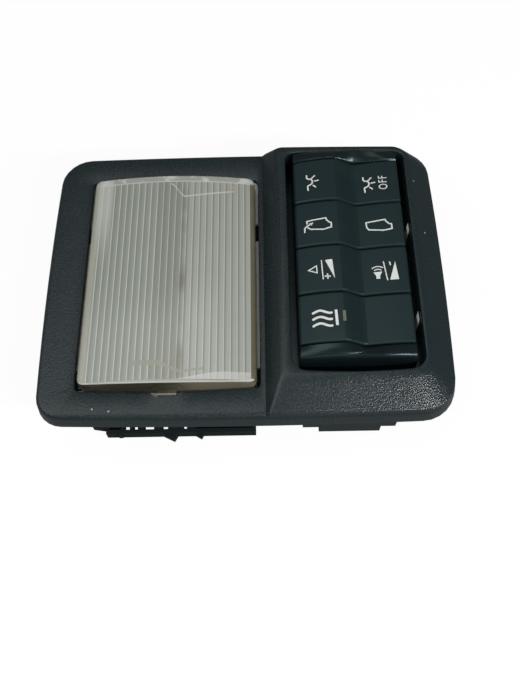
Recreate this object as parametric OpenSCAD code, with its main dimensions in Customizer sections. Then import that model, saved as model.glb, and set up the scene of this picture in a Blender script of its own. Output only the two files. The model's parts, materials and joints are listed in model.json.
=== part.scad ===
// Ceiling lamp and switch panel for a vehicle cab, lying on its back with the lens and keys up.
// X runs across the panel from the lamp to the keys, Y from the front edge to the back edge,
// and Z out of the visible face. All sizes are in millimetres.

/* [Frame] */
// Height of the lamp face above the surface that the housings rest on
face_z = 29; // [27:0.5:36]
// Height of the rim, from its rear edge up to the lamp face
rim_h = 6.6; // [5:0.1:8]
// Wall of the frame moulding
wall = 2.2; // [1.6:0.1:2.6]
// How far each edge of the frame bows outwards at its middle
edge_bow = 1.2; // [0.4:0.1:2]
// Rounding between the lamp face and the rim
edge_r = 2.2; // [1:0.1:2.6]
// Radius of the frame's front corner beside the lamp
lamp_front_r = 9; // [6:0.5:14]
// Radius of the frame's back corner beside the lamp
lamp_back_r = 12; // [6:0.5:14]
// Radius of the frame's two corners beside the keys
key_corner_r = 12; // [8:0.5:16]

/* [Raised block around the keys] */
// Flat strip between the window and the foot of the block
land_w = 1.8; // [1.4:0.1:3]
// Distance from the foot of the block to the keys
key_inset = 12; // [11:0.25:14]
// Height of the block's top above the lamp face
block_h = 6.5; // [5:0.25:8]
// Height of the upright lip at the foot of the outer slopes
block_lip = 1.25; // [0.5:0.25:2.5]
// Run of the slope on the lamp side
slope_left = 5.5; // [4:0.25:6.5]
// Run of the slope at the front
slope_front = 11.5; // [8:0.5:12.5]
// Run of the slope on the outer side
slope_right = 9; // [6:0.5:10]
// Run of the slope at the back
slope_back = 1.4; // [1:0.1:2]

/* [Lamp window and lens] */
// Width of the window in the lamp face
window_w = 65.4; // [60:0.2:66]
// Distance from the lamp edge of the frame to the window
window_left = 14.8; // [14:0.2:15.2]
// Distance from the front edge of the frame to the window
window_front = 11.8; // [11:0.2:14]
// Distance from the window to the back edge of the frame
window_back = 13.8; // [13:0.2:16]
// Corner radius of the window
window_r = 2; // [1.5:0.1:4]
// How far the window's front edge bows towards the front
window_bow = 1; // [0:0.1:1.5]
// Width of the finger notch in the window's front edge
notch_w = 11.5; // [8:0.5:16]
// Depth of the finger notch
notch_d = 1.8; // [1:0.1:2.4]
// Gap between the lens and the window all round
lens_gap = 0.9; // [0.5:0.1:1.2]
// Height of the lens above the lamp face at its side edges
lens_edge_h = 2.4; // [1.5:0.1:4]
// Extra height of the lens along its middle
lens_crown = 3.3; // [1:0.1:5]
// Thickness of the lens plate over the ribs
lens_t = 2.2; // [1.6:0.1:2.6]
// Wall of the lens skirt
lens_skirt = 1.7; // [1.2:0.1:2]
// How far the skirt reaches below the lamp face
lens_drop = 3.2; // [2.5:0.1:3.6]
// Distance from one lens rib to the next
rib_pitch = 2.42; // [1.8:0.02:4]
// Depth of the lens ribs
rib_depth = 0.9; // [0.4:0.05:1.2]
// Width of the plain strip where the ribs change direction
rib_middle = 2; // [1.6:0.1:6]
// Place of that strip, measured from the lens's middle
rib_centre = 4.6; // [-8:0.2:8]

/* [Lamp housing] */
// Wall of the lamp housing and the rear cover
case_wall = 1.8; // [1.4:0.1:2.2]
// Height of the stepped pan under the lamp housing
pan_h = 2.4; // [1.5:0.1:3.5]
// Inset of the pan from the housing's outer side
pan_inset = 8.5; // [5:0.5:12]
// Gap between the lamp housing and the latch wall in front of it
latch_gap = 2.4; // [1.5:0.1:2.6]
// Height of the latch wall
latch_h = 4.5; // [3.5:0.25:6]
// Wall of the white reflector
reflector_t = 1.3; // [0.9:0.1:1.5]
// Depth of the reflector below the lamp face
reflector_d = 19; // [16.5:0.5:20]
// Place of the bulb row, measured from the lens's middle
bulb_x = 3.5; // [-2:0.5:6]
// Height of the bulb row above the reflector's floor
bulb_h = 7; // [6:0.25:8]
// Diameter of a bulb's glass
bulb_d = 10; // [8:0.5:11]
// Length of a bulb over its caps
bulb_len = 36; // [30:0.5:37]
// Depth of the window that the two bulbs leave free
row_space = 18.4; // [17:0.2:22]

/* [Keys] */
// Width of a key, from its left press face to its right one
key_w = 41; // [38:0.5:41]
// Gap between neighbouring keys
key_gap = 0.5; // [0.4:0.05:1]
// Height of a key's left edge above the lamp face
key_h = 7.4; // [6.5:0.1:9]
// Rise from the left edge to the crest
key_crest = 2.6; // [1:0.1:3.5]
// Drop from the left edge to the groove beside the crest
key_groove = 1.5; // [0.5:0.1:2]
// Rise of the right edge over the left one
key_end = 0.6; // [0:0.1:1.5]
// Wall of a key's top
key_t = 1.9; // [1.4:0.1:2.2]
// Wall of a key's skirt
key_skirt = 1.6; // [1.2:0.1:1.8]
// Distance from the outer edge of the frame to the keys
key_right = 15; // [14.6:0.2:16]
// Distance from the front edge of the frame to the keys
key_front = 24.4; // [24:0.2:26]
// Distance from the keys to the back edge of the frame
key_back = 11.6; // [11.2:0.2:12.4]
// Angle that a key rocks each way
key_travel = 3.5; // [2:0.25:3.75]
// Radius of the trunnion pins that the keys rock on
pin_r = 1.5; // [1.2:0.05:1.6]
// Radial running clearance of a key on its pins
pin_clear = 0.05; // [0.02:0.01:0.1]
// Gap between the key block and its opening in the frame
trench = 2.8; // [2:0.1:3]
// How far the opening's front edge bows towards the front
open_bow = 1.2; // [0:0.1:1.6]
// Depth of the gloss end cap in front of the keys
cap_front = 5.7; // [5:0.1:6]
// Depth of the gloss end cap behind the keys
cap_back = 4.6; // [4:0.1:4.8]
// How far the opening's back edge and the end cap there bow towards the back
cap_bow = 0.8; // [0:0.1:1]

/* [Electrics] */
// Thickness of the circuit board
board_t = 1.6; // [1:0.2:2]
// Distance of the micro switches from the middle of a key
press_x = 13; // [11.5:0.25:14]
// Side of a micro switch
switch_w = 6; // [5:0.5:7]
// Width of a brass contact strip
strip_w = 5; // [4:0.25:7]
// Thickness of a brass contact strip
strip_t = 0.5; // [0.3:0.05:0.6]
// Number of pins in the connector
pin_count = 8; // [4:1:8]
// Distance between connector pins
pin_pitch = 2.2; // [1.8:0.1:2.4]

/* [Hidden] */
$fn = 64;
tiny = 0.01;

// Colours as the photograph shows them
grained_black = [0.15, 0.17, 0.18];
satin_black = [0.1, 0.12, 0.125];
gloss_black = [0.03, 0.03, 0.035];
case_black = [0.12, 0.14, 0.145];
lens_clear = [0.8, 0.82, 0.78, 0.6];
reflector_white = [0.9, 0.9, 0.88];
glass_clear = [0.85, 0.88, 0.9, 0.5];
brass = [0.78, 0.62, 0.32];
steel = [0.7, 0.71, 0.72];
board_green = [0.1, 0.35, 0.2];
led_white = [0.92, 0.9, 0.75];

// Overall size of the frame, from what it holds side by side and from front to back
window_d = 2 * bulb_len + row_space;
panel_w = window_left + window_w + land_w + key_inset + key_w + key_right;
panel_d = window_front + window_d + window_back;
key_pitch = (panel_d - key_front - key_back) / 4;

// Frame outline, and heights measured from the surface that the part rests on
half_w = panel_w / 2;
half_d = panel_d / 2;
base_w = half_w - edge_bow;
base_d = half_d - edge_bow;
bow_x = half_w / base_w - 1;
bow_y = half_d / base_d - 1;
rim_z = face_z - rim_h;
rim_draft = 0.14;
corner_n = 6;
face_under = face_z - wall;
lug_y = -half_d + 1.2;
lug_step = rim_z - 5.4;
lug_end = rim_z - 11.1;

// Raised block
block_x = -half_w + window_left + window_w + land_w;
top_z = face_z + block_h;
lip_z = face_z + block_lip;
block_edge = 0.9;

// Lamp window and lens
win_x0 = -half_w + window_left;
win_x1 = win_x0 + window_w;
win_y0 = -half_d + window_front;
win_y1 = win_y0 + window_d;
win_x = (win_x0 + win_x1) / 2;
window_y = (win_y0 + win_y1) / 2;
win_edge = 0.6;
lens_x0 = win_x0 + lens_gap;
lens_x1 = win_x1 - lens_gap;
lens_y0 = win_y0 + lens_gap;
lens_y1 = win_y1 - lens_gap;
lens_r = window_r + 0.6;
lens_draft = 0.45;
lens_round = 1;
skirt_z = face_z - lens_drop;

// Reflector and lamp housing
seat_gap = 0.2;
flange_z = skirt_z - seat_gap;
flange_t = 1.4;
flange_x0 = lens_x0 - 2.2;
flange_x1 = lens_x1 + 1.8;
flange_y0 = lens_y0 - window_bow - 3.2;
flange_y1 = lens_y1 + 2;
tub_gap = 1.2;
tub_x0 = lens_x0 + lens_skirt + tub_gap;
tub_x1 = lens_x1 - lens_skirt - tub_gap;
tub_y0 = lens_y0 + lens_skirt + tub_gap;
tub_y1 = lens_y1 - lens_skirt - tub_gap;
tub_side = 11;
tub_end = 2.2;
floor_z = face_z - reflector_d;
case_top = flange_z - flange_t;
case_x0 = flange_x0;
case_x1 = flange_x1;
case_y0 = flange_y0;
case_y1 = flange_y1;
latch_t = 1.5;
latch_y0 = case_y0 - latch_gap - latch_t;
latch_rib = [win_x - 20, win_x + 8];
latch_slot = [[-17.8, 2.2], [-14.6, 1.8], [-9.5, 3.8], [-3.5, 2.2], [4, 1.5]];
pan_x0 = case_x0 + pan_inset;
pan_x1 = case_x1 - 3;
hook_w = 8;
hook_y = [win_y1 - 23.2, win_y0 + 5.2];
hook_t = 1.2;
hook_reach = 5.2;
hook_slot = 1.9;

// Screws: frame bosses, pads on the parts that they hold, and shanks
boss_r = 3;
pilot_r = 1.25;
shank_r = 1.2;
hole_r = 1.6;
head_r = 2.8;
head_h = 2;
lamp_boss_z = face_z - 8;
ear_t = 2.2;
lamp_boss = [[win_x0 - 6.2, win_y1 - 6.2], [win_x0 - 6.2, win_y0 + 8.2],
    [win_x1 + 1.8, win_y0 - window_bow - 4.4], [win_x1 - 16, win_y1 + 5.6]];

// Bulb row
lamp_x = win_x + bulb_x;
lamp_z = floor_z + bulb_h;
row_gap = 1;
contact_y = row_gap / 2 + strip_t;
bulb_mid = [window_y - contact_y - bulb_len / 2 + 0.7, window_y + contact_y + bulb_len / 2 - 0.7];
cap_len = 6;
cap_r = 3.4;
nose_r = 1.3;
nose_len = 1.5;
contact_hole = 2.4;
strip_z = floor_z - reflector_t - 0.2;
riser_slot = 0.3;

// Keys: a row of four along Y, number 1 at the back
key_x1 = half_w - key_right;
key_x0 = key_x1 - key_w;
pivot_x = (key_x0 + key_x1) / 2;
keys_y0 = -half_d + key_front;
keys_y1 = keys_y0 + 4 * key_pitch;
key_d = key_pitch - key_gap;
key_y = [for (i = [0:3]) keys_y1 - key_pitch * (i + 0.5)];
key_z = face_z + key_h;
crest_at = 0.41;
groove_at = 0.57;
bend = 0.018;
key_round = 0.7;
pivot_z = face_z - 1.5;
skirt_end = pivot_z - 2.7;
press_fall = (key_w / 2) * sin(key_travel);
deck_z = skirt_end - press_fall - 0.55;
deck_t = 1.6;
deck_under = deck_z - deck_t;
post_w = 6;
post_end = key_d / 2 - key_skirt - 0.4;

// Opening for the keys, and the deck under it
cap_shell = 1.2;
cap_level = 0.5;
cap_crown = 1.1;
cap_gap = 0.7;
peg_r = 0.9;
open_x0 = key_x0 - trench;
open_x1 = key_x1 + trench;
cap_y0 = keys_y0 - cap_front;
cap_y1 = keys_y1 + cap_back;
open_y0 = cap_y0 - trench;
open_y1 = cap_y1 + cap_gap;
open_r = [5, 5, 3, 3];
open_edge = 0.6;
collar = 1.6;
collar_z = face_z - 3;
boss_z = face_z - 4.2;
side_boss_y = cap_y1 - 20;
switch_boss = [[key_x0 + 3, open_y0 - collar - 6.6], [key_x1 - 3, open_y0 - collar - 6.6],
    [open_x0 - 5.4, side_boss_y], [open_x1 + 5.4, side_boss_y]];
switch_ear = 0.3;
deck_x0 = open_x0 - 3.2;
deck_x1 = open_x1 + 3.2;
deck_y0 = open_y0 - 5.2;
deck_y1 = open_y1 + 1;

// Circuit board, hung from the deck on four pillars
switch_h = 4.3;
body_h = 3.4;
plunger_r = 1.7;
press_gap = 0.3;
press_lift = (press_x + 0.8) * sin(key_travel);
board_top = deck_under - 5.6;
board_z = board_top - board_t;
press_z = board_top + switch_h + press_gap + press_lift;
cover_x0 = deck_x0 + 0.8;
cover_x1 = deck_x1 - 0.8;
cover_y0 = open_y0 - 4.5;
cover_y1 = open_y1 - 0.6;
board_gap = 0.5;
board_x0 = cover_x0 + case_wall + board_gap;
board_x1 = cover_x1 - case_wall - board_gap;
board_y0 = cover_y0 + case_wall + board_gap;
board_y1 = cover_y1 - case_wall - board_gap;
pillar_r = 2.6;
pillar = [for (x = [board_x0 + 3.2, board_x1 - 3.2], y = [board_y0 + 3.2, board_y1 - 3.2]) [x, y]];
led_x = 7.5;
indicator_x = pivot_x - 4.4;
indicator_w = 1.1;
indicator_d = 4.2;

// Connector at the back of the rear cover
header_w = pin_count * pin_pitch + 6;
header_h = 12;
header_wall = 1.5;
header_x = pivot_x + 3;
header_z = case_wall + header_h / 2;
header_y0 = cover_y1 - 6;
header_y1 = cover_y1 + 5.2;
pin_drop = 2.4;
pin_w = 0.64;
leg_y = header_y0 - 2;

// Spring clips
clip_w = 8;
clip_h = 13;
clip_t = 0.6;

// Outline helpers
function arc(cx, cy, r, start, n) =
    [for (i = [0:n]) [cx + r * cos(start + 90 * i / n), cy + r * sin(start + 90 * i / n)]];
function between(a, b, n) = n < 2 ? [] : [for (i = [1:n - 1]) a + (b - a) * i / n];
function ends(list) = list[len(list) - 1];

// Rectangle with a radius for each corner, anticlockwise from the front left, with its long
// edges cut into nx parts and its side edges into ny parts
function rounded(x0, x1, y0, y1, r, nx, ny) =
    let (a = arc(x0 + r[0], y0 + r[0], r[0], 180, corner_n),
         b = arc(x1 - r[1], y0 + r[1], r[1], 270, corner_n),
         c = arc(x1 - r[2], y1 - r[2], r[2], 0, corner_n),
         d = arc(x0 + r[3], y1 - r[3], r[3], 90, corner_n))
    concat(a, between(ends(a), b[0], nx), b, between(ends(b), c[0], ny),
        c, between(ends(c), d[0], nx), d, between(ends(d), a[0], ny));

// Moves a point outwards so that straight edges take on the frame's bow
function bowed(p) =
    [p.x * (1 + bow_x * (1 - pow(p.y / half_d, 2))), p.y * (1 + bow_y * (1 - pow(p.x / half_w, 2)))];

// Frame outline, moved inwards by an inset
function frame_outline(inset) =
    let (k = key_corner_r - inset)
    [for (p = rounded(-base_w + inset, base_w - inset, -base_d + inset, base_d - inset,
        [lamp_front_r - inset, k, k, lamp_back_r - inset], 12, 8)) bowed(p)];

// Window outline with its bowed front edge, moved outwards by a margin
function window_outline(margin) =
    let (hw = window_w / 2)
    [for (p = rounded(win_x0 - margin, win_x1 + margin, win_y0 - margin, win_y1 + margin,
        [for (i = [0:3]) window_r + margin], 12, 1))
        p.y > window_y ? p : [p.x, p.y - window_bow * (1 - pow(min(1, abs(p.x - win_x) / hw), 2))]];

// Outline of the raised block for insets on its left, front, right and back sides
function block_outline(left, front, right, back, r) =
    [for (p = rounded(block_x + left, base_w - right, -base_d + front, base_d - back, r, 8, 8))
        bowed(p)];

// Closed solid through a stack of outlines with equal numbers of points
module loft(levels) {
    n = len(levels[0]);
    m = len(levels);
    polyhedron(
        points = [for (level = levels) each level],
        faces = concat(
            [[for (j = [0:n - 1]) j]],
            [for (i = [0:m - 2], j = [0:n - 1]) [i * n + j, (i + 1) * n + j, (i + 1) * n + (j + 1) % n]],
            [for (i = [0:m - 2], j = [0:n - 1]) [i * n + j, (i + 1) * n + (j + 1) % n, i * n + (j + 1) % n]],
            [[for (j = [n - 1:-1:0]) (m - 1) * n + j]]));
}
function at_height(outline, z) = [for (p = outline) [p.x, p.y, z]];

module prism(outline, z0, z1) {
    translate([0, 0, z0]) linear_extrude(z1 - z0) polygon(outline);
}

// Solid between two Y planes whose XZ section is an outline
module along_y(outline, y0, y1) {
    translate([0, y1, 0]) rotate([90, 0, 0]) linear_extrude(y1 - y0) polygon(outline);
}

module box(x0, x1, y0, y1, z0, z1) {
    translate([x0, y0, z0]) cube([x1 - x0, y1 - y0, z1 - z0]);
}

module upright(p, r, z0, z1) {
    translate([p.x, p.y, z0]) cylinder(h = z1 - z0, r = r);
}

function same_r(r) = [r, r, r, r];

// Frame: a lamp face with a rounded rim, and a raised block with sloping sides for the keys
module frame_slab() {
    drafted = (rim_h - edge_r) * rim_draft;
    loft(concat(
        [at_height(frame_outline(0), rim_z - 1), at_height(frame_outline(0), rim_z)],
        [for (a = [0, 25, 50, 72, 90])
            at_height(frame_outline(drafted + edge_r * (1 - cos(a))), face_z - edge_r * (1 - sin(a)))]));
}

// Inset of the block's slopes at a height between the lip and the top
function slope_part(z) = max(0, (z - lip_z) / (top_z - lip_z));
function left_part(z) = max(0, (z - face_z) / block_h);

function block_level(z, extra, shift) =
    let (s = slope_part(z), foot = rim_draft * (min(z, lip_z) - rim_z) + 0.12,
         ease = 1 - 0.55 * s)
    at_height(block_outline(slope_left * left_part(z) + extra, foot + slope_front * s + extra,
        foot + slope_right * s + extra, foot + slope_back * s + extra,
        [1 + s, (key_corner_r - 1) * ease, (key_corner_r - 1) * ease, 1.6 + s]), z + shift);

module block_body() {
    loft([block_level(face_z - 1.6, 0, 0), block_level(face_z, 0, 0), block_level(lip_z, 0, 0),
        block_level(top_z - block_edge, 0, 0), block_level(top_z - block_edge * 0.3, block_edge * 0.15, 0),
        block_level(top_z - tiny, block_edge * 0.8, tiny)]);
}

module block_hollow() {
    inner = wall * 0.75;
    loft([block_level(face_z - 1.6, inner, -wall), block_level(lip_z, inner, -wall),
        block_level(top_z - block_edge, inner, -wall), block_level(top_z - tiny, inner + block_edge, tiny - wall)]);
}

module window_cut() {
    loft([at_height(window_outline(0), rim_z - 2), at_height(window_outline(0), face_z - win_edge),
        at_height(window_outline(win_edge * 0.3), face_z - win_edge * 0.3),
        at_height(window_outline(win_edge), face_z), at_height(window_outline(win_edge), face_z + 1)]);
    front = win_y0 - window_bow - notch_d;
    half = notch_w / 2;
    prism([[win_x - half, win_y0], [win_x - half, front + notch_d - 0.3], [win_x - half + 1.8, front],
        [win_x + half - 1.8, front], [win_x + half, front + notch_d - 0.3], [win_x + half, win_y0]],
        rim_z - 2, face_z + 1);
}

// Outline of the key opening, its front and back edges bowed outwards, moved outwards by a margin
function opening(margin) =
    let (hw = (open_x1 - open_x0) / 2 + margin)
    [for (p = rounded(open_x0 - margin, open_x1 + margin, open_y0 - margin, open_y1 + margin,
        [for (r = open_r) r + margin], 8, 1))
        let (reach = 1 - pow(min(1, abs(p.x - pivot_x) / hw), 2))
        [p.x, p.y + reach * (p.y < 0 ? -open_bow : cap_bow)]];

module opening_cut() {
    loft([at_height(opening(0), rim_z - 2), at_height(opening(0), top_z - open_edge),
        at_height(opening(open_edge * 0.3), top_z - open_edge * 0.3),
        at_height(opening(open_edge), top_z), at_height(opening(open_edge), top_z + 1)]);
}

// Stepped lug under the front rim that hooks behind the edge of the ceiling cut-out
module front_lug() {
    box(key_x0 + 1, key_x1 - 7, lug_y, lug_y + 1.6, lug_step, rim_z + 0.5);
    box(key_x0 + 7, key_x1 - 12, lug_y + 0.4, lug_y + 3, lug_end, lug_step);
}

module bezel() {
    color(grained_black) {
        difference() {
            union() {
                frame_slab();
                block_body();
            }
            difference() {
                union() {
                    prism(frame_outline(wall + 0.5), rim_z - 2, face_under);
                    block_hollow();
                }
                prism(opening(collar), collar_z, top_z);
                for (p = switch_boss) upright(p, boss_r, boss_z, top_z);
                for (p = lamp_boss) upright(p, boss_r, rim_z - 2, top_z);
            }
            window_cut();
            opening_cut();
            for (p = switch_boss) upright(p, pilot_r, rim_z - 2, face_z + 1.2);
            for (p = lamp_boss) upright(p, pilot_r, rim_z - 2, face_z - 1.1);
            box(-half_w - 1, half_w + 1, -half_d - 1, half_d + 1, rim_z - 3, rim_z);
        }
        for (p = lamp_boss) difference() {
            upright(p, boss_r, lamp_boss_z, rim_z + 0.5);
            upright(p, pilot_r, lamp_boss_z - 1, rim_z + 1);
        }
        front_lug();
    }
}

// Height of the lens's outer surface at a place across it
function lens_z(x) = face_z + lens_edge_h + lens_crown * (1 - pow((x - win_x) / (window_w / 2), 2));

function lens_outline(inset) =
    let (hw = (lens_x1 - lens_x0) / 2)
    [for (p = rounded(lens_x0 + inset, lens_x1 - inset, lens_y0 + inset, lens_y1 - inset,
        same_r(lens_r - inset * 0.6), 16, 1))
        p.y > window_y ? p : [p.x, p.y - window_bow * (1 - pow(min(1, abs(p.x - win_x) / hw), 2))]];

function lens_level(inset, below) = [for (p = lens_outline(inset)) [p.x, p.y, lens_z(p.x) - below]];

// Crowned block: walls rise to the lens's top, which is closed with strips from front to back
module lens_body() {
    levels = concat([at_height(lens_outline(0), skirt_z)],
        [for (a = [0, 30, 60, 90])
            lens_level(lens_draft + lens_round * (1 - cos(a)), lens_round * (1 - sin(a)))]);
    n = len(levels[0]);
    m = len(levels);
    top = (m - 1) * n;
    half = n / 2;
    polyhedron(
        points = [for (level = levels) each level],
        faces = concat(
            [[for (j = [0:n - 1]) j]],
            [for (i = [0:m - 2], j = [0:n - 1]) [i * n + j, (i + 1) * n + j, (i + 1) * n + (j + 1) % n]],
            [for (i = [0:m - 2], j = [0:n - 1]) [i * n + j, (i + 1) * n + (j + 1) % n, i * n + (j + 1) % n]],
            [for (j = [0:half - 2]) [top + j, top + n - 1 - j, top + n - 2 - j]],
            [for (j = [0:half - 2]) [top + j, top + n - 2 - j, top + j + 1]]));
}

// Places of the rib edges, outwards from the plain strip to each side
lens_in0 = lens_x0 + lens_skirt;
lens_in1 = lens_x1 - lens_skirt;
strip_x = win_x + rib_centre;
rib_step = 0.14;
rib_lines_l = [for (x = [strip_x - rib_middle / 2:-rib_pitch:lens_in0 + 0.8]) x];
rib_lines_r = [for (x = [strip_x + rib_middle / 2:rib_pitch:lens_in1 - 0.8]) x];
function rib_z(x) = lens_z(x) - lens_t;

// Underside of the lens: each rib slopes away from the plain strip, then steps back
module lens_hollow() {
    left = [for (i = [len(rib_lines_l) - 1:-1:0]) each
        [[rib_lines_l[i] - rib_step, rib_z(rib_lines_l[i])],
         [rib_lines_l[i] + rib_step, rib_z(rib_lines_l[i]) - rib_depth]]];
    right = [for (x = rib_lines_r) each [[x - rib_step, rib_z(x) - rib_depth], [x + rib_step, rib_z(x)]]];
    along_y(concat([[lens_in0, skirt_z - 1], [lens_in0, rib_z(lens_in0)]], left, right,
        [[lens_in1, rib_z(lens_in1)], [lens_in1, skirt_z - 1]]), lens_y0 + lens_skirt, lens_y1 - lens_skirt);
}

// Snap hook under a side of the skirt: a leg with a wedge that faces outwards
module lens_hook(side, y) {
    x = side < 0 ? lens_x0 + 0.3 : lens_x1 - 0.3;
    lip = 1.5;
    along_y([[x, skirt_z + 0.8], [x - side * hook_t, skirt_z + 0.8], [x - side * hook_t, skirt_z - hook_reach - 1.6],
        [x, skirt_z - hook_reach - 1.6], [x + side * lip, skirt_z - hook_reach], [x, skirt_z - hook_reach + 0.2]],
        y - hook_w / 2 + 0.5, y + hook_w / 2 - 0.5);
}

module lens() {
    color(lens_clear) {
        difference() {
            lens_body();
            lens_hollow();
        }
        for (side = [-1, 1], y = hook_y) lens_hook(side, y);
        tongue_y = lens_y0 - window_bow;
        box(win_x - notch_w / 2 + 2.4, win_x + notch_w / 2 - 2.4, tongue_y - notch_d + 0.3, tongue_y + 1,
            skirt_z, face_z - 0.6);
    }
}

// Tub with sloping sides; inset moves its wall inwards, and it spans two heights
module tub(inset, z_top, z_low) {
    r = 5 - inset;
    loft([
        at_height(rounded(tub_x0 + tub_side + inset, tub_x1 - tub_side * 0.6 - inset, tub_y0 + tub_end + inset,
            tub_y1 - tub_end - inset, same_r(r), 1, 1), z_low),
        at_height(rounded(tub_x0 + inset, tub_x1 - inset, tub_y0 + inset, tub_y1 - inset, same_r(r), 1, 1), z_top)]);
}

// White reflector tray: a flange under the lens, a sloping tub and slots for the bulb contacts
module reflector() {
    color(reflector_white) difference() {
        union() {
            prism(rounded(flange_x0, flange_x1, flange_y0, flange_y1, same_r(4), 1, 1), case_top, flange_z);
            tub(0, flange_z, floor_z - reflector_t);
            box(tub_x1 - 22, tub_x1 - 2, tub_y1 - 6.5, tub_y1 - 1, floor_z - reflector_t + 6, flange_z);
        }
        difference() {
            tub(reflector_t, flange_z + tiny, floor_z);
            box(tub_x1 - 22, tub_x1 - 2, tub_y1 - 6.5, tub_y1, floor_z, flange_z - 2.5);
            box(tub_x0 + 16, lamp_x - 6.5, tub_y0, tub_y0 + 3, floor_z, flange_z - 3);
        }
        box(tub_x1 - 22 + reflector_t, tub_x1 - 2 - reflector_t, tub_y1 - 6.5 + reflector_t, tub_y1 - 1 - reflector_t,
            floor_z - reflector_t - 1, flange_z - 2.5 - reflector_t);
        for (span = [[flange_x0 - 1, lens_x0 + hook_slot], [lens_x1 - hook_slot, flange_x1 + 1]], y = hook_y)
            box(span[0], span[1], y - hook_w / 2, y + hook_w / 2, case_top - 1, flange_z + 1);
        for (y = concat(strip_ends(0), strip_ends(1)))
            box(lamp_x - strip_w / 2 - riser_slot, lamp_x + strip_w / 2 + riser_slot,
                y - strip_t / 2 - riser_slot, y + strip_t / 2 + riser_slot,
                floor_z - reflector_t - 1, floor_z + 1);
    }
}

// Places along Y of the upright contacts: kind 0 is the outer pair, kind 1 the middle pair
function strip_ends(kind) = kind == 1
    ? [window_y - row_gap / 2 - strip_t / 2, window_y + row_gap / 2 + strip_t / 2]
    : [bulb_mid[0] - bulb_len / 2 + 0.7 - strip_t / 2, bulb_mid[1] + bulb_len / 2 - 0.7 + strip_t / 2];

module contact_tab(y) {
    difference() {
        box(lamp_x - strip_w / 2, lamp_x + strip_w / 2, y - strip_t / 2, y + strip_t / 2, strip_z - strip_t, lamp_z + 4);
        translate([lamp_x, y + 1, lamp_z]) rotate([90, 0, 0]) cylinder(h = 2, r = contact_hole / 2);
    }
}

// Brass strip with the two middle contacts and its lead to the circuit board
module live_strip() {
    ys = strip_ends(1);
    lead_y = window_y + 6;
    color(brass) {
        for (y = ys) contact_tab(y);
        box(lamp_x - strip_w / 2, lamp_x + strip_w / 2, ys[0] - strip_t / 2, lead_y + strip_w / 2, strip_z - strip_t, strip_z);
        strip_lead(lead_y);
    }
}

// Flat lead that leaves the lamp housing and rises to the board's underside
module strip_lead(y) {
    end_x = board_x0 + 4;
    box(lamp_x, end_x, y - strip_w / 2, y + strip_w / 2, strip_z - strip_t, strip_z);
    box(end_x - strip_t, end_x, y - strip_w / 2, y + strip_w / 2, strip_z - strip_t, board_z);
}

// Brass strip along the bulb row with the two outer contacts
module earth_strip() {
    ys = strip_ends(0);
    rail_x = lamp_x - strip_w - 1.5;
    lead_y = ys[0] + strip_w / 2 + 8;
    color(brass) {
        for (y = ys) {
            contact_tab(y);
            inward = y < window_y ? 1 : -1;
            box(rail_x - strip_w / 2, lamp_x + strip_w / 2, min(y - strip_t / 2, y + inward * strip_w),
                max(y + strip_t / 2, y + inward * strip_w), strip_z - strip_t, strip_z);
        }
        box(rail_x - strip_w / 2, rail_x + strip_w / 2, ys[0], ys[1], strip_z - strip_t, strip_z);
        box(rail_x, lamp_x, lead_y - strip_w / 2, lead_y + strip_w / 2, strip_z - strip_t, strip_z);
        strip_lead(lead_y);
    }
}

// One festoon bulb: glass barrel, two caps with nose cones, and a filament between them
module along_row(y) {
    translate([lamp_x, y, lamp_z]) rotate([90, 0, 0]) children();
}

glass_half = bulb_len / 2 - nose_len - cap_len + 1;

module bulb_glass(y) {
    r = bulb_d / 2;
    neck = cap_r - 0.6;
    t = 0.6;
    color(glass_clear) along_row(y) rotate_extrude() polygon([
        [neck - t, -glass_half], [neck, -glass_half], [neck, -glass_half + 1], [r - 0.6, -glass_half + 3],
        [r, -glass_half + 5], [r, glass_half - 5], [r - 0.6, glass_half - 3], [neck, glass_half - 1],
        [neck, glass_half], [neck - t, glass_half], [neck - t, glass_half - 1], [r - 0.6 - t, glass_half - 3],
        [r - t, glass_half - 5], [r - t, -glass_half + 5], [r - 0.6 - t, -glass_half + 3], [neck - t, -glass_half + 1]]);
}

module bulb_caps(y) {
    neck = cap_r - 0.6;
    out = bulb_len / 2;
    color(steel) for (side = [-1, 1]) along_row(y) scale([1, 1, side]) rotate_extrude() polygon([
        [0, glass_half], [neck, glass_half], [neck, glass_half - 1 + 0.4], [cap_r, glass_half - 0.6],
        [cap_r, out - nose_len - 0.8], [cap_r - 0.8, out - nose_len], [nose_r, out - nose_len + 0.2],
        [nose_r * 0.7, out], [0, out]]);
}

module bulb_filament(y) {
    color(steel) along_row(y) {
        translate([0, 0, -glass_half]) cylinder(h = 2 * glass_half, r = 0.2);
        translate([0, 0, -glass_half + 5]) cylinder(h = 2 * glass_half - 10, r = 0.7);
    }
}

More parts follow.
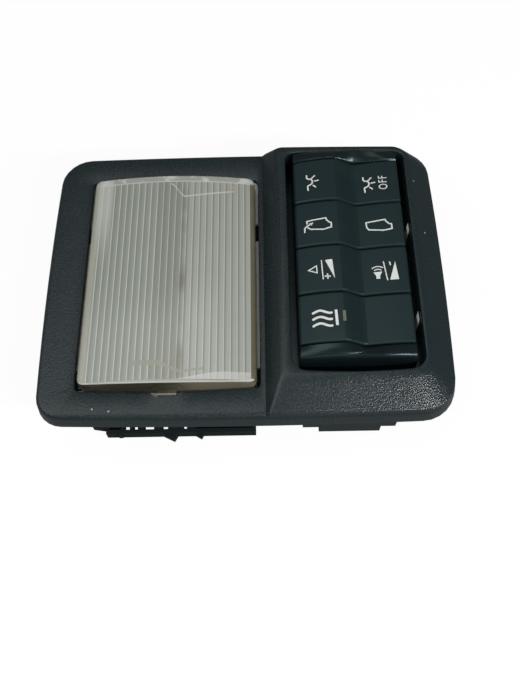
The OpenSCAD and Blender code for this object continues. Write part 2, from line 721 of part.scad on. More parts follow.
// Stepped black tray behind the lamp
module lamp_housing() {
    mid_z = pan_h;
    inner_floor = mid_z + case_wall;
    color(case_black) {
        difference() {
            union() {
                loft([
                    at_height(rounded(case_x0 + 3, case_x1 - 3, case_y0 + 0.8, case_y1 - 0.8, same_r(3), 1, 1), mid_z),
                    at_height(rounded(case_x0 + 1, case_x1 - 1, case_y0 + 0.3, case_y1 - 0.3, same_r(4), 1, 1), mid_z + 0.8),
                    at_height(rounded(case_x0, case_x1, case_y0, case_y1, same_r(4), 1, 1), mid_z + 2.6),
                    at_height(rounded(case_x0, case_x1, case_y0, case_y1, same_r(4), 1, 1), case_top)]);
                prism(rounded(pan_x0, pan_x1, case_y0 + 0.8, case_y1 - 6, same_r(3), 1, 1), 0, mid_z + 1);
                for (p = lamp_boss) ear(p, 0.5, lamp_boss_z - ear_t, lamp_boss_z, case_x0, case_x1, case_y0, case_y1);
            }
            prism(rounded(case_x0 + case_wall, case_x1 - case_wall, case_y0 + case_wall, case_y1 - case_wall,
                same_r(2.4), 1, 1), inner_floor, case_top + 1);
            prism(rounded(pan_x0 + case_wall, pan_x1 - case_wall, case_y0 + case_wall + 0.8, case_y1 - 6 - case_wall,
                same_r(1.4), 1, 1), case_wall, inner_floor + 2);
            for (p = lamp_boss) upright(p, hole_r, lamp_boss_z - ear_t - 1, lamp_boss_z + tiny);
            for (side = [-1, 1], y = hook_y) hook_window(side, y);
            lead_window(window_y + 6);
            lead_window(strip_ends(0)[0] + strip_w / 2 + 8);
            for (i = [0:3]) box(win_x - 26 + 7 * i, win_x - 24 + 7 * i, case_y1 - case_wall - 1, case_y1 + 1,
                mid_z + 5, mid_z + 13);
        }
        for (y = [bulb_mid[0] - 3, window_y + 6, bulb_mid[1] + 3]) rail(y);
        latch_wall();
    }
}

// Cross rail on the housing's floor that carries the brass strips
module rail(y) {
    box(lamp_x - 12, lamp_x + 6, y - 1, y + 1, case_wall - 0.2, strip_z - strip_t);
}

// Screw ear at a point outside a rectangle, with its arm back to the rectangle's edge
module ear(p, margin, z0, z1, x0, x1, y0, y1) {
    x = min(max(p.x, x0 + 4), x1 - 4);
    y = min(max(p.y, y0 + 4), y1 - 4);
    hull() {
        upright(p, boss_r + margin, z0, z1, $fn = 32);
        upright([(x + p.x) / 2, (y + p.y) / 2], boss_r + margin, z0, z1, $fn = 32);
    }
}

module hook_window(side, y) {
    x = side < 0 ? case_x0 : case_x1;
    box(x - case_wall - 1, x + case_wall + 1, y - hook_w / 2, y + hook_w / 2,
        skirt_z - hook_reach - 2.2, skirt_z - hook_reach + 0.5);
}

module lead_window(y) {
    box(case_x1 - case_wall - 1, case_x1 + 1, y - strip_w / 2 - 0.5, y + strip_w / 2 + 0.5,
        strip_z - strip_t - 0.5, strip_z + 0.5);
}

// Latch wall in front of the housing, joined to it by ribs with open slots between them
module latch_wall() {
    y_in = case_y0 + 1;
    difference() {
        box(pan_x0, pan_x1, latch_y0, y_in, 0, latch_h);
        for (s = latch_slot) box(win_x + s[0] - s[1] / 2, win_x + s[0] + s[1] / 2,
            latch_y0 + latch_t, y_in + 1, -1, latch_h + 1);
        for (span = [[pan_x0 - 1, latch_rib[0]], [latch_rib[1], pan_x1 + 1]])
            box(span[0], span[1], latch_y0 + latch_t, case_y0 - tiny, pan_h, latch_h + 1);
    }
    prism([[pan_x0 - 5.4, y_in], [pan_x0 - 5.4, latch_y0 + 3], [pan_x0 + 1, latch_y0 + 2], [pan_x0 + 1, y_in]],
        0.6, latch_h - 0.5);
    barb(win_x - 4.4, 5.6, 2.2);
    barb(win_x + 7.8, 3, 1.4);
    box(pan_x0 + 4.5, pan_x0 + 6, latch_y0 - 0.5, latch_y0 + 1, 0.6, latch_h);
}

module barb(x, w, out) {
    prism([[x, latch_y0 + tiny], [x + w * 0.78, latch_y0 - out], [x + w, latch_y0 + tiny]], 0, 3);
}

// Self-tapping screw with a pan head, its head's seat at z
module screw(p, z, length, r, head, height) {
    drive = head * 0.45;
    difference() {
        union() {
            upright(p, head, z - height, z);
            upright(p, r, z - 0.2, z + length);
        }
        for (turn = [0, 90]) translate([p.x, p.y, z - height]) rotate(turn)
            cube([2 * drive, 0.7, height], center = true);
    }
}

module lamp_screws() {
    color(steel) for (p = lamp_boss)
        screw(p, lamp_boss_z - ear_t, face_z - 1.5 - lamp_boss_z + ear_t, shank_r, head_r, head_h);
}

// Top line of a key: a rounded rise to the crest, a ramp down to the groove, a gentle rise
function key_rise(u) =
    u < crest_at ? key_crest * sin(90 * u / crest_at)
    : u < groove_at ? key_crest - (key_crest + key_groove) * (u - crest_at) / (groove_at - crest_at)
    : (key_groove + key_end) * sin(90 * (u - groove_at) / (1 - groove_at)) - key_groove;
function key_top(x) = key_z + key_rise((x - key_x0) / key_w);

key_steps = concat([for (i = [1:4]) (crest_at - bend) * i / 4], [crest_at + bend, groove_at - bend],
    [for (i = [0:3]) groove_at + bend + (1 - groove_at - bend) * i / 4]);

// Section of a key across X, its sides and top moved inwards by an inset
function key_section(inset, low) =
    let (x0 = key_x0 + inset, w = key_w - 2 * inset, z0 = key_z - inset, z1 = key_z + key_end - inset)
    concat([[x0, low], [x0 + 0.15, z0 - 1.3], [x0 + 0.4, z0 - 0.5], [x0 + 0.95, z0 + 0.05]],
        [for (u = key_steps) [x0 + u * w, key_z + key_rise(u) - inset]],
        [[x0 + w - 0.95, z1 - 0.05], [x0 + w - 0.4, z1 - 0.5], [x0 + w - 0.15, z1 - 1.3], [x0 + w, low]]);

function key_level(y, inset, low) = [for (p = key_section(inset, low)) [p.x, y, p.y]];

// Block with a key's section and rounded front and back edges
module key_block(y0, y1, r, low) {
    loft(concat([for (a = [90, 45, 0]) key_level(y0 + r * (1 - sin(a)), r * (1 - cos(a)), low)],
        [for (a = [0, 45, 90]) key_level(y1 - r * (1 - sin(a)), r * (1 - cos(a)), low)]));
}

function key_inside(drop, x0, x1, low) =
    concat([[x0, low], [x0, key_top(x0) - drop]],
        [for (u = [crest_at / 2, crest_at, groove_at, (1 + groove_at) / 2])
            [key_x0 + u * key_w, key_z + key_rise(u) - drop]],
        [[x1, key_top(x1) - drop], [x1, low]]);

module rocker_key(i, window = false) {
    y0 = key_y[i] - key_d / 2;
    y1 = key_y[i] + key_d / 2;
    color(satin_black) {
        difference() {
            key_block(y0, y1, key_round, skirt_end);
            along_y(key_inside(key_t, key_x0 + key_skirt, key_x1 - key_skirt, skirt_end - 1),
                y0 + key_skirt, y1 - key_skirt);
            translate([pivot_x, y1 + 1, pivot_z]) rotate([90, 0, 0]) cylinder(h = key_d + 2, r = pin_r + pin_clear);
            if (window) box(indicator_x - indicator_w / 2 - 0.05, indicator_x + indicator_w / 2 + 0.05,
                key_y[i] - indicator_d / 2 - 0.05, key_y[i] + indicator_d / 2 + 0.05, key_z - 2, key_z + 6);
        }
        for (side = [-1, 1]) let (x = pivot_x + side * press_x)
            box(x - 0.8, x + 0.8, key_y[i] - 4, key_y[i] + 4, press_z, key_top(x) - 1);
    }
}

module indicator_window() {
    color(led_white) box(indicator_x - indicator_w / 2, indicator_x + indicator_w / 2,
        key_y[3] - indicator_d / 2, key_y[3] + indicator_d / 2,
        key_top(indicator_x) - key_t - 0.6, key_top(indicator_x + indicator_w / 2) - 0.05);
}

// Frame under the keys: a deck with a post and trunnion pins for each key
module switch_frame() {
    color(gloss_black) {
        difference() {
            union() {
                prism(rounded(deck_x0, deck_x1, deck_y0, deck_y1, same_r(4), 1, 1), deck_under, deck_z);
                for (p = switch_boss) {
                    ear(p, switch_ear, deck_under, deck_z, deck_x0, deck_x1, deck_y0, deck_y1);
                    upright(p, boss_r, deck_under, boss_z);
                }
                for (p = pillar) upright(p, pillar_r, board_top, deck_under);
            }
            for (y = key_y, side = [0, 1]) translate([pivot_x, 0, 0]) mirror([side, 0, 0])
                box(press_x - 6.5, press_x + 4, y - 6, y + 6, deck_under - 1, deck_z + 1);
            box(indicator_x - 1.3, indicator_x + 1.3, key_y[3] - 2.4, key_y[3] + 2.4, deck_under - 1, deck_z + 1);
            for (p = switch_boss) upright(p, hole_r, deck_under - 1, boss_z + 1);
            for (p = pillar) upright(p, 0.9, board_top - 1, deck_z - 0.8);
            for (p = cap_pegs) upright(p, peg_r + 0.1, deck_under - 1, deck_z + 1);
        }
        for (y = key_y) post(y);
    }
}

// Solid under a grid of points, which is closed down to a level
module raised(rows, low) {
    n = len(rows[0]);
    m = len(rows);
    size = n * m;
    polyhedron(
        points = concat([for (row = rows) each row], [for (row = rows, p = row) [p.x, p.y, low]]),
        faces = concat(
            [for (i = [0:m - 2], j = [0:n - 2]) each let (a = i * n + j, b = a + n)
                [[a, b, b + 1], [a, b + 1, a + 1],
                 [size + a, size + b + 1, size + b], [size + a, size + a + 1, size + b + 1]]],
            [for (i = [0:m - 2]) each let (a = i * n, b = a + n, c = a + n - 1, d = c + n)
                [[a, size + a, size + b], [a, size + b, b], [c, d, size + d], [c, size + d, size + c]]],
            [for (j = [0:n - 2]) each let (a = j, b = (m - 1) * n + j)
                [[a, a + 1, size + a + 1], [a, size + a + 1, size + a],
                 [b, size + b, size + b + 1], [b, size + b + 1, b + 1]]]));
}

// Places across an end cap, each with how far its edges drop there
cap_columns = concat([[0, 1.6], [0.4, 0.5]], [for (u = key_steps) [u * key_w, 0]],
    [[key_w - 0.4, 0.5], [key_w, 1.6]]);

// One line of points across an end cap: part is its share of the cap's depth, drop its fall there
function cap_row(seam_y, edge_y, bow, part, drop) =
    [for (c = cap_columns) let (u = c[0] / key_w, bulge = 1 - pow(2 * u - 1, 2), fade = max(0, 1 - part / 0.8))
        [key_x0 + c[0], seam_y + (edge_y - seam_y + bow * bulge) * part,
         key_z + key_rise(u) * fade + (cap_level + cap_crown * bulge) * (1 - fade) - c[1] - drop]];

cap_pegs = [for (x = [key_x0 + 1.2, key_x1 - 1.2], y = [cap_y0 + 1.6, keys_y1 + key_gap / 2 + 1.3]) [x, y]];

// Two glossy caps that fill the row before and behind the keys, pegged into the deck
module end_caps() {
    front_y = keys_y0 - key_gap / 2;
    back_y = keys_y1 + key_gap / 2;
    color(gloss_black) {
        difference() {
            raised([for (step = [[1, 5], [0.97, 2.4], [0.9, 1.1], [0.78, 0.35], [0.6, 0], [0.3, 0], [0.07, 0], [0, 0.5]])
                cap_row(front_y, cap_y0, 0, step[0], step[1])], deck_z);
            box(key_x0 + 2.4, key_x1 - 2.4, cap_y0 + cap_shell, front_y - cap_shell,
                deck_z - 1, key_z - key_groove - key_t);
        }
        raised([for (step = [[0, 0.5], [0.12, 0], [0.45, 0], [0.75, 0.15], [0.93, 0.7], [1, 1.8]])
            cap_row(back_y, cap_y1, cap_bow, step[0], step[1])], deck_z);
        for (p = cap_pegs) upright(p, peg_r, deck_under, deck_z + 1);
    }
}

// Two pale tabs of the light frame that show in the trench beside the second and the fourth key
module edge_tabs() {
    x = open_x1 - 0.3;
    color(led_white) for (y = [key_y[1] + 0.5, key_y[3] + 2])
        prism([[x - 0.6, y - 2.8], [x, y - 0.6], [x - 0.1, y + 2.8], [x - 0.9, y + 0.8]], deck_z, key_z - 4);
}

module post(y) {
    half = post_w / 2;
    box(pivot_x - half, pivot_x + half, y - post_end, y + post_end, deck_z - 0.4, pivot_z);
    translate([pivot_x, y + post_end, pivot_z]) rotate([90, 0, 0]) cylinder(h = 2 * post_end, r = half - 0.4);
    translate([pivot_x, y + key_d / 2 - 0.2, pivot_z]) rotate([90, 0, 0]) cylinder(h = key_d - 0.4, r = pin_r);
}

// Circuit board with its switches, lights and driver
module switch_board() {
    color(board_green) difference() {
        prism(rounded(board_x0, board_x1, board_y0, board_y1, same_r(2), 1, 1), board_z, board_top);
        for (p = pillar) upright(p, 1.2, board_z - 1, board_top + 1);
        for (i = [0:pin_count - 1]) upright([header_pin_x(i), leg_y], 0.55, board_z - 1, board_top + 1);
    }
}

module micro_switches() {
    half = switch_w / 2;
    color(gloss_black) for (y = key_y, side = [-1, 1]) let (x = pivot_x + side * press_x) {
        box(x - half, x + half, y - half, y + half, board_top, board_top + body_h);
        upright([x, y], plunger_r, board_top + body_h - 0.2, board_top + switch_h);
    }
}

module backlight_leds() {
    color(led_white) {
        for (y = key_y, side = [-1, 1]) led(pivot_x + side * led_x, y);
        led(indicator_x, key_y[3]);
    }
}

module led(x, y) {
    box(x - 1.4, x + 1.4, y - 1.6, y + 1.6, board_top, board_top + 1.4);
    upright([x, y], 1.1, board_top + 1.2, board_top + 1.9);
}

module control_chip() {
    x = pivot_x;
    y = key_y[2];
    color(gloss_black) {
        box(x - 4.5, x + 4.5, y - 3.6, y + 3.6, board_z - 2.2, board_z - 0.3);
        for (i = [0:6], side = [-1, 1])
            box(x - 4 + 1.27 * i, x - 3.6 + 1.27 * i, min(y + side * 3.2, y + side * 4.8), max(y + side * 3.2, y + side * 4.8),
                board_z - 0.5, board_z);
    }
}

module smoothing_capacitor() {
    color(steel) upright([board_x0 + 9, key_y[3]], 4, board_z - 10, board_z);
}

function header_pin_x(i) = header_x + (i - (pin_count - 1) / 2) * pin_pitch;

// Connector header: a shroud that opens to the back, with one row of angled pins
module connector_header() {
    color(satin_black) difference() {
        box(header_x - header_w / 2, header_x + header_w / 2, header_y0, header_y1,
            header_z - header_h / 2, header_z + header_h / 2);
        box(header_x - header_w / 2 + header_wall, header_x + header_w / 2 - header_wall, header_y0 + 2, header_y1 + 1,
            header_z - header_h / 2 + header_wall, header_z + header_h / 2 - header_wall);
        for (i = [0:pin_count - 1])
            box(header_pin_x(i) - pin_w / 2, header_pin_x(i) + pin_w / 2, header_y0 - 1, header_y0 + 3,
                header_z - pin_drop - pin_w / 2, header_z - pin_drop + pin_w / 2);
    }
}

module connector_pins() {
    h = pin_w / 2;
    color(brass) for (i = [0:pin_count - 1]) let (x = header_pin_x(i)) {
        box(x - h, x + h, leg_y - h, header_y1 - 2, header_z - pin_drop - h, header_z - pin_drop + h);
        box(x - h, x + h, leg_y - h, leg_y + h, header_z - pin_drop - h, board_top + 0.8);
    }
}

module board_screws() {
    color(steel) for (p = pillar) screw(p, board_z, 5, 0.85, 2, 1.3);
}

// Rear cover that closes the switch section, with ears under the frame's bosses
module rear_cover() {
    color(case_black) difference() {
        union() {
            loft([
                at_height(rounded(cover_x0 + 1.2, cover_x1 - 1.2, cover_y0 + 1.2, cover_y1 - 0.4, same_r(3), 1, 1), 0),
                at_height(rounded(cover_x0 + 0.3, cover_x1 - 0.3, cover_y0 + 0.3, cover_y1 - 0.1, same_r(3), 1, 1), 1),
                at_height(rounded(cover_x0, cover_x1, cover_y0, cover_y1, same_r(3), 1, 1), 2.4),
                at_height(rounded(cover_x0, cover_x1, cover_y0, cover_y1, same_r(3), 1, 1), deck_under)]);
            for (p = switch_boss)
                ear(p, switch_ear, deck_under - ear_t, deck_under, cover_x0, cover_x1, cover_y0, cover_y1);
        }
        prism(rounded(cover_x0 + case_wall, cover_x1 - case_wall, cover_y0 + case_wall, cover_y1 - case_wall,
            same_r(1.2), 1, 1), case_wall, deck_under + 1);
        for (p = switch_boss) upright(p, hole_r, deck_under - ear_t - 1, deck_under + 1);
        box(header_x - header_w / 2, header_x + header_w / 2, cover_y1 - case_wall - 1, cover_y1 + 1,
            header_z - header_h / 2, header_z + header_h / 2);
        for (y = [window_y + 6, strip_ends(0)[0] + strip_w / 2 + 8])
            box(cover_x0 - 1, cover_x0 + case_wall + 1, y - strip_w / 2 - 0.5, y + strip_w / 2 + 0.5,
                strip_z - strip_t - 0.5, strip_z + 0.5);
    }
}

module switch_screws() {
    length = face_z + 0.8 - deck_under + ear_t;
    color(steel) for (p = switch_boss) screw(p, deck_under - ear_t, length, shank_r, head_r, head_h);
}

// Bent steel clip on a rear wall: it snaps behind the ceiling cut-out
module spring_clip(x, y) {
    t = clip_t;
    z0 = rim_z - 2.1;
    z1 = z0 - clip_h;
    translate([x - clip_w / 2, y, 0]) rotate([90, 0, 90]) linear_extrude(clip_w) polygon([
        [0, z0], [t, z0], [t, z1 + 1.2], [t + 0.7, z1 + t], [t + 1.4, z1 + 1.2], [t + 4, z0 - 5], [t + 2, z0 - 1],
        [t + 2.6, z0 - 0.6], [t + 4.8, z0 - 5], [t + 2, z1 + 0.8], [t + 0.9, z1], [0.5, z1], [0, z1 + 0.8]]);
}

module spring_clips() {
    color(steel) {
        spring_clip(win_x + 8, case_y1);
        spring_clip(cover_x0 + 7, cover_y1);
    }
}

bezel();
lens();
reflector();
lamp_housing();
bulb_glass(bulb_mid[0]);  // front_bulb_glass
bulb_caps(bulb_mid[0]);  // front_bulb_caps
bulb_filament(bulb_mid[0]);  // front_bulb_filament
bulb_glass(bulb_mid[1]);  // rear_bulb_glass
bulb_caps(bulb_mid[1]);  // rear_bulb_caps
bulb_filament(bulb_mid[1]);  // rear_bulb_filament
live_strip();
earth_strip();
lamp_screws();
switch_frame();
end_caps();
edge_tabs();
rocker_key(0);  // rocker_key_1
rocker_key(1);  // rocker_key_2
rocker_key(2);  // rocker_key_3
rocker_key(3, window = true);  // rocker_key_4
indicator_window();
switch_board();
micro_switches();
backlight_leds();
control_chip();
smoothing_capacitor();
connector_header();
connector_pins();
board_screws();
rear_cover();
switch_screws();
spring_clips();
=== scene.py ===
# Overhead lamp and switch panel: camera, finishes, panel parts, printed legends and studio
import json
import math

import bpy
from mathutils import Matrix, Vector


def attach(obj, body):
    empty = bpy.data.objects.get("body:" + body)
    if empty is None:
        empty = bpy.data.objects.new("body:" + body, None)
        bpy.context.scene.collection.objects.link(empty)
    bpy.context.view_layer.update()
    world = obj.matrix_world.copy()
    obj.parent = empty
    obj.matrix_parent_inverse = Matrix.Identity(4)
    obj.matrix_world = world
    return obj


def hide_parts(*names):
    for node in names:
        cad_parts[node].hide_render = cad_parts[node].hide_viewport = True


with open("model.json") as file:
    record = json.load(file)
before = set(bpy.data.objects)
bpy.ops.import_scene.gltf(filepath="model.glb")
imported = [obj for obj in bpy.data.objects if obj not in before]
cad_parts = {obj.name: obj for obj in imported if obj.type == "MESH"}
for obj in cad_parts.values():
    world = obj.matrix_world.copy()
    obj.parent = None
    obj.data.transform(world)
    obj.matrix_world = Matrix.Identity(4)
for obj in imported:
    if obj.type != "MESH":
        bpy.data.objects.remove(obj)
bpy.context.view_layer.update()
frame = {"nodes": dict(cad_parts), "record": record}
mm = 0.001
nodes = frame["nodes"]
slotOf = {part["node"]: part["material_slot"] for part in frame["record"]["subparts"]}
bodyOf = {node: body for body, held in frame["record"]["behaviour"]["bodies"].items() for node in held}
print("frame loaded:", len(nodes), "nodes")


# camera at the photograph's angle

view = {
    "place": (7.9, -151.1, 273.9),   # mm, measured from the panel's footprint
    "pitch": 64.0,                   # degrees below the horizon
    "yaw": -0.84,
    "roll": -1.77,
    "lens": 39.26,                   # mm
    "sensor": 36,
    "nearest": 10,                   # mm, nothing closer is drawn
}


def addCamera():
    pitch, yaw, roll = (math.radians(view[key]) for key in ("pitch", "yaw", "roll"))
    ahead = Vector((math.sin(yaw) * math.cos(pitch), math.cos(yaw) * math.cos(pitch), -math.sin(pitch)))
    level = Vector((math.cos(yaw), -math.sin(yaw), 0))
    upright = level.cross(ahead)
    right = math.cos(roll) * level + math.sin(roll) * upright
    up = math.cos(roll) * upright - math.sin(roll) * level
    turn = Matrix((right, up, -ahead)).transposed().to_4x4()
    bpy.ops.object.camera_add()
    camera = bpy.context.object
    camera.name = "photo_camera"
    camera.matrix_world = Matrix.Translation(Vector(view["place"]) * mm) @ turn
    camera.data.lens = view["lens"]
    camera.data.sensor_width = view["sensor"]
    camera.data.clip_start = view["nearest"] * mm
    bpy.context.scene.camera = camera


addCamera()
print("camera set")


# finishes

class Wire:   # an output socket that takes part in sums
    def __init__(self, finish, socket):
        self.finish = finish
        self.socket = socket

    def __add__(self, other):
        return self.finish.maths("ADD", self, other)

    def __radd__(self, other):
        return self.finish.maths("ADD", other, self)

    def __sub__(self, other):
        return self.finish.maths("SUBTRACT", self, other)

    def __rsub__(self, other):
        return self.finish.maths("SUBTRACT", other, self)

    def __mul__(self, other):
        return self.finish.maths("MULTIPLY", self, other)

    def __rmul__(self, other):
        return self.finish.maths("MULTIPLY", other, self)

    def __truediv__(self, other):
        return self.finish.maths("DIVIDE", self, other)

    def __rtruediv__(self, other):
        return self.finish.maths("DIVIDE", other, self)

    def __gt__(self, other):
        return self.finish.maths("GREATER_THAN", self, other)

    def __lt__(self, other):
        return self.finish.maths("LESS_THAN", self, other)


class Finish:   # one material, whose patterns follow the object's own coordinates in metres
    def __init__(self, name, **constants):
        self.material = bpy.data.materials.new(name)
        self.material.use_nodes = True
        self.tree = self.material.node_tree
        self.surface = self.tree.nodes["Principled BSDF"]
        for key, value in constants.items():
            self.surface.inputs[key.replace("_", " ")].default_value = value
        self.place = self.node("ShaderNodeTexCoord", output="Object")

    def node(self, kind, settings=None, inputs=None, output=0):
        made = self.tree.nodes.new(kind)
        for key, value in (settings or {}).items():
            setattr(made, key, value)
        for key, value in (inputs or {}).items():
            if isinstance(value, Wire):
                self.tree.links.new(value.socket, made.inputs[key])
            else:
                made.inputs[key].default_value = value
        return Wire(self, made.outputs[output])

    def feed(self, key, wire):
        self.tree.links.new(wire.socket, self.surface.inputs[key])

    def maths(self, operation, first, second=0.0):
        return self.node("ShaderNodeMath", {"operation": operation}, {0: first, 1: second})

    def axis(self, name):
        return self.node("ShaderNodeSeparateXYZ", inputs={0: self.place}, output=name)

    def noise(self, scale, detail=3, roughness=0.5):   # scale is in patches per metre
        return self.node("ShaderNodeTexNoise", inputs={
            "Vector": self.place, "Scale": scale, "Detail": detail, "Roughness": roughness})

    def cells(self, scale):   # distance from the nearest cell's middle, with scale in cells per metre
        return self.node("ShaderNodeTexVoronoi", output="Distance", inputs={
            "Vector": self.place, "Scale": scale})

    def fade(self, value, low, high, start=0.0, end=1.0):   # eases from start to end
        return self.node("ShaderNodeMapRange", {"interpolation_type": "SMOOTHSTEP"}, {
            0: value, 1: low, 2: high, 3: start, 4: end})

    def within(self, value, low, high, soft):   # 1 between low and high
        return self.fade(value, low - soft, low + soft) * (1 - self.fade(value, high - soft, high + soft))

    def near(self, value, place, half):   # 1 along a line that is twice half wide
        return 1 - self.fade(self.maths("ABSOLUTE", value - place), half * 0.6, half)

    def blend(self, factor, first, second):
        return self.node("ShaderNodeMix", {"data_type": "RGBA"}, {
            "Factor": factor,
            6: (*first, 1) if isinstance(first, tuple) else first,
            7: (*second, 1) if isinstance(second, tuple) else second}, 2)

    def bump(self, height, strength, distance):   # distance is in mm
        self.feed("Normal", self.node("ShaderNodeBump", inputs={
            "Strength": strength, "Distance": distance * mm, "Height": height}))


def grainedBlack():
    look = {
        "colour": (0.0125, 0.0225, 0.0255),
        "worn": (0.03, 0.038, 0.037),
        "pit": (0.005, 0.009, 0.01),
        "speck": (0.55, 0.55, 0.5),
        # painted shade inside the keys' opening
        "wellShade": (0.001, 0.002, 0.002),
        "grain": 1900,                 # pits per metre
        "grainDepth": 0.085,           # mm
        "wornPatches": 38,             # per metre
        "specks": 170,                 # per metre, before the patches thin them out
        "speckSize": 0.05,
        "speckPatches": (60, 0.57),    # per metre, and the level above which a patch has specks
        "roughness": 0.27,
        "shadedKeyWell": ((17, 62), (-43.5, 52.6), 28.7),   # mm: sides, ends and top of the painted shade in the keys' opening
        "ceilingSide": (21.9, 21.3),   # mm: the rim turns dull here, towards the side that faces the ceiling
    }
    finish = Finish("grained_black", IOR=1.48)
    grain = finish.cells(look["grain"])
    fine = finish.noise(look["grain"] * 1.9, 2)
    patch = finish.noise(look["wornPatches"], 4, 0.6)
    across, along, height = (finish.axis(name) for name in "XYZ")

    colour = finish.blend(finish.fade(patch, 0.52, 0.78) * 0.3, look["colour"], look["worn"])
    colour = finish.blend(finish.fade(grain, 0.2, 0.75) * 0.3, colour, look["pit"])
    # painted shade: the colour inside the keys' opening is darkened, below its top
    (left, right), (front, back), top = look["shadedKeyWell"]
    inShadedWell = (across > left * mm) * (across < right * mm) * (along > front * mm) * (along < back * mm)
    colour = finish.blend(inShadedWell * (height < top * mm) * 0.85, colour, look["wellShade"])
    patches, least = look["speckPatches"]
    specks = (finish.cells(look["specks"]) < look["speckSize"]) * (finish.noise(patches, 2) > least)
    finish.feed("Base Color", finish.blend(specks, colour, look["speck"]))

    start, end = look["ceilingSide"]
    behind = finish.fade(height, start * mm, end * mm)
    finish.feed("Roughness", look["roughness"] + patch * 0.08 - grain * 0.12 + behind * 0.4)
    finish.bump(grain * 0.8 + fine * 0.7, 1.0, look["grainDepth"])
    return finish.material


def satinBlack():
    look = {
        "colour": (0.0055, 0.0145, 0.0168),
        "rubbed": (0.012, 0.021, 0.022),
        "rubbedPatches": 55,   # per metre
        "grain": 5200,
        "grainDepth": 0.012,   # mm
        "roughness": 0.4,
    }
    finish = Finish("satin_black", IOR=1.45, Specular_Tint=(0.8, 1.0, 1.0, 1.0))
    patch = finish.noise(look["rubbedPatches"], 3)
    rubbed = finish.fade(patch, 0.5, 0.75) * 0.5
    finish.feed("Base Color", finish.blend(rubbed, look["colour"], look["rubbed"]))
    finish.feed("Roughness", look["roughness"] + patch * 0.1)
    finish.bump(finish.noise(look["grain"], 2), 0.3, look["grainDepth"])
    return finish.material


def glossBlack():
    look = {
        "colour": (0.005, 0.0095, 0.011),
        "dust": (0.08, 0.085, 0.085),
        "dustGrains": 900,   # per metre
        "roughness": 0.26,
    }
    finish = Finish("gloss_black", IOR=1.45, Specular_Tint=(0.75, 1.0, 1.0, 1.0))
    dust = finish.fade(finish.noise(look["dustGrains"], 4, 0.7), 0.63, 0.75) * 0.2
    finish.feed("Base Color", finish.blend(dust, look["colour"], look["dust"]))
    finish.feed("Roughness", look["roughness"] + dust * 0.8)
    return finish.material


def caseBlack():
    look = {
        "colour": (0.0075, 0.0135, 0.015),
        "flow": (0.014, 0.02, 0.021),
        "flowMarks": 24,       # per metre
        "grain": 1600,
        "grainDepth": 0.015,   # mm
        "roughness": 0.58,
    }
    finish = Finish("case_black", IOR=1.3)
    flow = finish.noise(look["flowMarks"], 5, 0.62)
    finish.feed("Base Color", finish.blend(finish.fade(flow, 0.4, 0.7) * 0.6, look["colour"], look["flow"]))
    finish.feed("Roughness", look["roughness"] + flow * 0.22)
    finish.bump(finish.noise(look["grain"], 3), 0.3, look["grainDepth"])
    return finish.material


lensLook = {   # places and widths in mm, as the ribs and the crown in the CAD
    "pitch": 2.42,                     # from rib to rib
    "leftLine": -23.9,                 # rib edges on both sides of the plain strip
    "rightLine": -21.9,
    "turn": (-23.4, -22.4),            # where the ribs change direction
    "line": 0.13,                      # share of a rib that its painted highlight edge takes
    "ribbed": ((-56.2, 2.1), (-44.8, 39.7)),   # sides and ends of the ribbed area
    "crown": (-27.5, 32.7, 34.7, 3.3),   # middle, half width, top and rise of the outer surface

    # painted view through the ribs: a line runs across, drops along its bend and climbs again behind its
    # knee
    "bulbRow": (-33, -22.2),           # sides of the warm band
    "streak": (-22.9, 1.5),            # brown streak beside it: place and half width
    "contact": {"run": (-39.8, -14.6), "bend": (-31.5, -21.8), "levels": (-38.4, -41.9), "knee": -22},
    "contactTaper": ((-33, -21), (0.95, 0.5)),   # where the contact strip narrows, and half its width there
    "trayEdge": {"run": (-28.5, -4), "bend": (-28.6, -22.6), "levels": (38.5, 32.4), "knee": -23},
    "climb": 0.16,                     # slope of both lines behind their knees
    "trayCorner": ((-4.4, 37), (35.4, 39)),    # a point of the warm lip, and its front and back ends
    "fanHighlight": ((-30, -6), (-45.4, -41.8)),        # painted highlight fanning out in front: its sides, and its back end there

    # border and walls
    "backLine": (39.2, 39.8),          # behind this the border is pale, with painted glints
    "sheen": (-54.2, 3.4),             # bright reflection inside the left edge: place and half width
    "wallTop": (0.75, 1.05),           # how far below the crown the walls begin
    "roundedEdgeHighlight": (0.3, 0.85),         # painted highlight along the rounded edge above the front wall, measured down from the crown
    "frontWall": -44,                  # the front wall lies in front of this
    "tongue": ((-34, -19), -47.6),     # sides of the tongue, painted as a lit cream tab, and the place of its root
    "roughness": 0.15,

    # colours: most are painted light and shade, as the clear ribs show them; haze is a tone that differs at
    # random
    "ground": (0.4, 0.44, 0.39),
    "light": (0.52, 0.56, 0.5),
    "bright": (0.98, 1.0, 0.95),
    "dark": (0.35, 0.38, 0.34),
    "pale": (0.6, 0.63, 0.57),
    "cream": (0.62, 0.62, 0.53),
    "brown": (0.2, 0.18, 0.12),
    "shade": (0.07, 0.066, 0.045),
    "tan": (0.26, 0.24, 0.17),
    "contactPale": (0.5, 0.5, 0.41),
    "warmLip": (0.8, 0.62, 0.5),
    "haze": (0.5, 0.48, 0.4),
}


def paintedRibLight(finish, look, across):
    # the ribs lean away from the plain strip; each gets a painted highlight on its edge and painted shade
    # across it
    leftWards = finish.maths("FRACT", (look["leftLine"] - across) / look["pitch"])
    rightWards = finish.maths("FRACT", (across - look["rightLine"]) / look["pitch"])
    line = finish.maths("MAXIMUM", 1 - finish.fade(leftWards, 0.02, look["line"]),
                        finish.fade(leftWards, 1 - look["line"] * 0.6, 1))
    left = finish.blend(finish.fade(leftWards, 0.1, 0.9), look["light"], look["ground"])
    left = finish.blend(line, left, look["bright"])
    right = finish.blend(finish.fade(rightWards, 0.02, 0.45), look["dark"], look["pale"])
    right = finish.blend(finish.fade(rightWards, 0.75, 0.98) * 0.6, right, look["bright"])
    return finish.blend(finish.fade(across, *look["turn"]), left, right)


